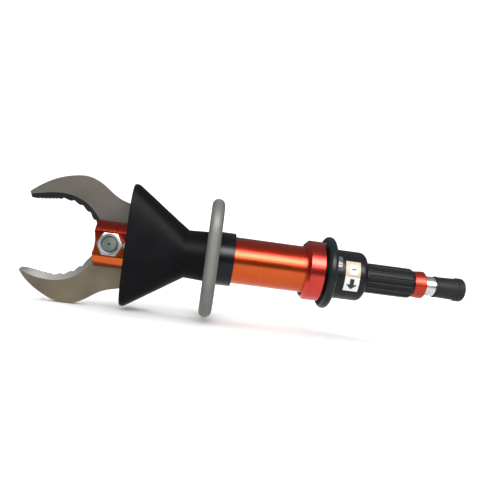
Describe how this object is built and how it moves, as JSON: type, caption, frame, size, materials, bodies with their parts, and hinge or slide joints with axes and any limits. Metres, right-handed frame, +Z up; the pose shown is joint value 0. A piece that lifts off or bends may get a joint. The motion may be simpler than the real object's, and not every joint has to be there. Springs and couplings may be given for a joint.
{
  "type": "rescue cutter",
  "caption": "Hydraulic rescue cutter: two hooked serrated blades on a fork yoke, rubber hood, closed carry ring, cylinder, twist control with guard ring, fluted grip and capped hose coupling.",
  "frame": {"origin": "centre of the hose socket mouth, on the tool axis", "axes": "+X along the tool axis out of the hose socket, blades towards -X, +Z up, blades swing in the XZ plane"},
  "size_m": [0.723, 0.1842, 0.2027],
  "materials": {
    "blade_steel": "ground and satin blasted",
    "bronze": "turned",
    "pin_steel": "ground",
    "link_steel": "blackened",
    "rod_chrome": "hard chrome",
    "machined_aluminium": "turned",
    "seal_rubber": "moulded",
    "zinc_steel": "bright zinc",
    "orange_anodised": "polished orange anodising",
    "red_anodised": "polished red anodising",
    "hood_rubber": "moulded satin",
    "screw_steel": "turned",
    "ring_aluminium": "satin blasted",
    "black_paint": "gloss",
    "sleeve_plastic": "satin moulded",
    "guard_plastic": "gloss moulded",
    "label_cream": "printed film",
    "label_white": "printed film",
    "grip_plastic": "moulded",
    "coupling_nickel": "nickel plated",
    "cap_rubber": "moulded"
  },
  "bodies": {
    "frame": {"fork_yoke": "orange_anodised", "pivot_bolt": "zinc_steel", "pivot_nut": "zinc_steel", "pivot_washers": "zinc_steel", "thrust_discs": "bronze", "nut_lock_plate": "zinc_steel", "nut_lock_screw": "zinc_steel", "blade_hood": "hood_rubber", "cylinder_tube": "orange_anodised", "rod_gland": "machined_aluminium", "rod_seal": "seal_rubber", "rod_wiper": "seal_rubber", "end_flange": "red_anodised", "flange_screws": "screw_steel", "carry_ring": "ring_aluminium", "handle_collar": "black_paint", "ring_lug_upper": "black_paint", "ring_lug_lower": "black_paint", "lug_bolts": "screw_steel", "valve_body": "machined_aluminium", "handle_tube": "pin_steel", "grip": "grip_plastic", "coupling_collar": "red_anodised", "coupling_body": "coupling_nickel", "coupling_socket": "coupling_nickel", "coupling_seal": "seal_rubber"},
    "upper_blade": {"blade_upper": "blade_steel", "blade_bush_upper": "bronze", "tail_pin_upper": "pin_steel"},
    "lower_blade": {"blade_lower": "blade_steel", "blade_bush_lower": "bronze", "tail_pin_lower": "pin_steel"},
    "piston": {"rod_crosshead": "link_steel", "crosshead_pins": "pin_steel", "piston_rod": "rod_chrome", "piston_head": "machined_aluminium", "piston_seal": "seal_rubber", "piston_nut": "zinc_steel"},
    "upper_links": {"link_upper_near": "link_steel", "link_upper_far": "link_steel"},
    "lower_links": {"link_lower_near": "link_steel", "link_lower_far": "link_steel"},
    "control": {"control_sleeve": "sleeve_plastic", "sleeve_screws": "screw_steel", "valve_disc": "bronze", "drive_pins": "pin_steel", "guard_ring": "guard_plastic", "label_upper": "label_cream", "label_lower": "label_white"},
    "cap": {"dust_cap": "cap_rubber"},
    "poppet": {"coupling_poppet": "bronze"}
  },
  "joints": [
    {"name": "blades_close", "type": "hinge", "parent": "frame", "child": "upper_blade", "pos_m": [-0.566, 0, 0], "axis": [0, -1, 0], "range_deg": [0, 31]},
    {"name": "lower_blade_close", "type": "hinge", "parent": "frame", "child": "lower_blade", "pos_m": [-0.566, 0, 0], "axis": [0, 1, 0], "range_deg": [0, 31.5]},
    {"name": "piston_push", "type": "slide", "parent": "frame", "child": "piston", "axis": [-1, 0, 0], "range_m": [0, 0.02625]},
    {"name": "upper_links_swing", "type": "hinge", "parent": "piston", "child": "upper_links", "pos_m": [-0.4446, 0, 0.013], "axis": [0, 1, 0], "range_deg": [0, 19.72]},
    {"name": "lower_links_swing", "type": "hinge", "parent": "piston", "child": "lower_links", "pos_m": [-0.4446, 0, -0.013], "axis": [0, -1, 0], "range_deg": [0, 19.72]},
    {"name": "control_twist", "type": "hinge", "parent": "frame", "child": "control", "pos_m": [-0.196, 0, 0], "axis": [1, 0, 0], "range_deg": [-30, 30], "stiffness_Nm_per_rad": 1.5},
    {"name": "cap_pull", "type": "slide", "parent": "frame", "child": "cap", "axis": [1, 0, 0], "range_m": [0, 0.06]},
    {"name": "poppet_press", "type": "slide", "parent": "frame", "child": "poppet", "axis": [-1, 0, 0], "range_m": [0, 0.004], "stiffness_N_per_m": 400}
  ],
  "couplings": [
    {"joint": "lower_blade_close", "follows": "blades_close", "ratio": 1},
    {"joint": "piston_push", "follows": "blades_close", "m_per_rad": 0.0476},
    {"joint": "upper_links_swing", "follows": "blades_close", "ratio": 0.62},
    {"joint": "lower_links_swing", "follows": "blades_close", "ratio": 0.62}
  ]
}
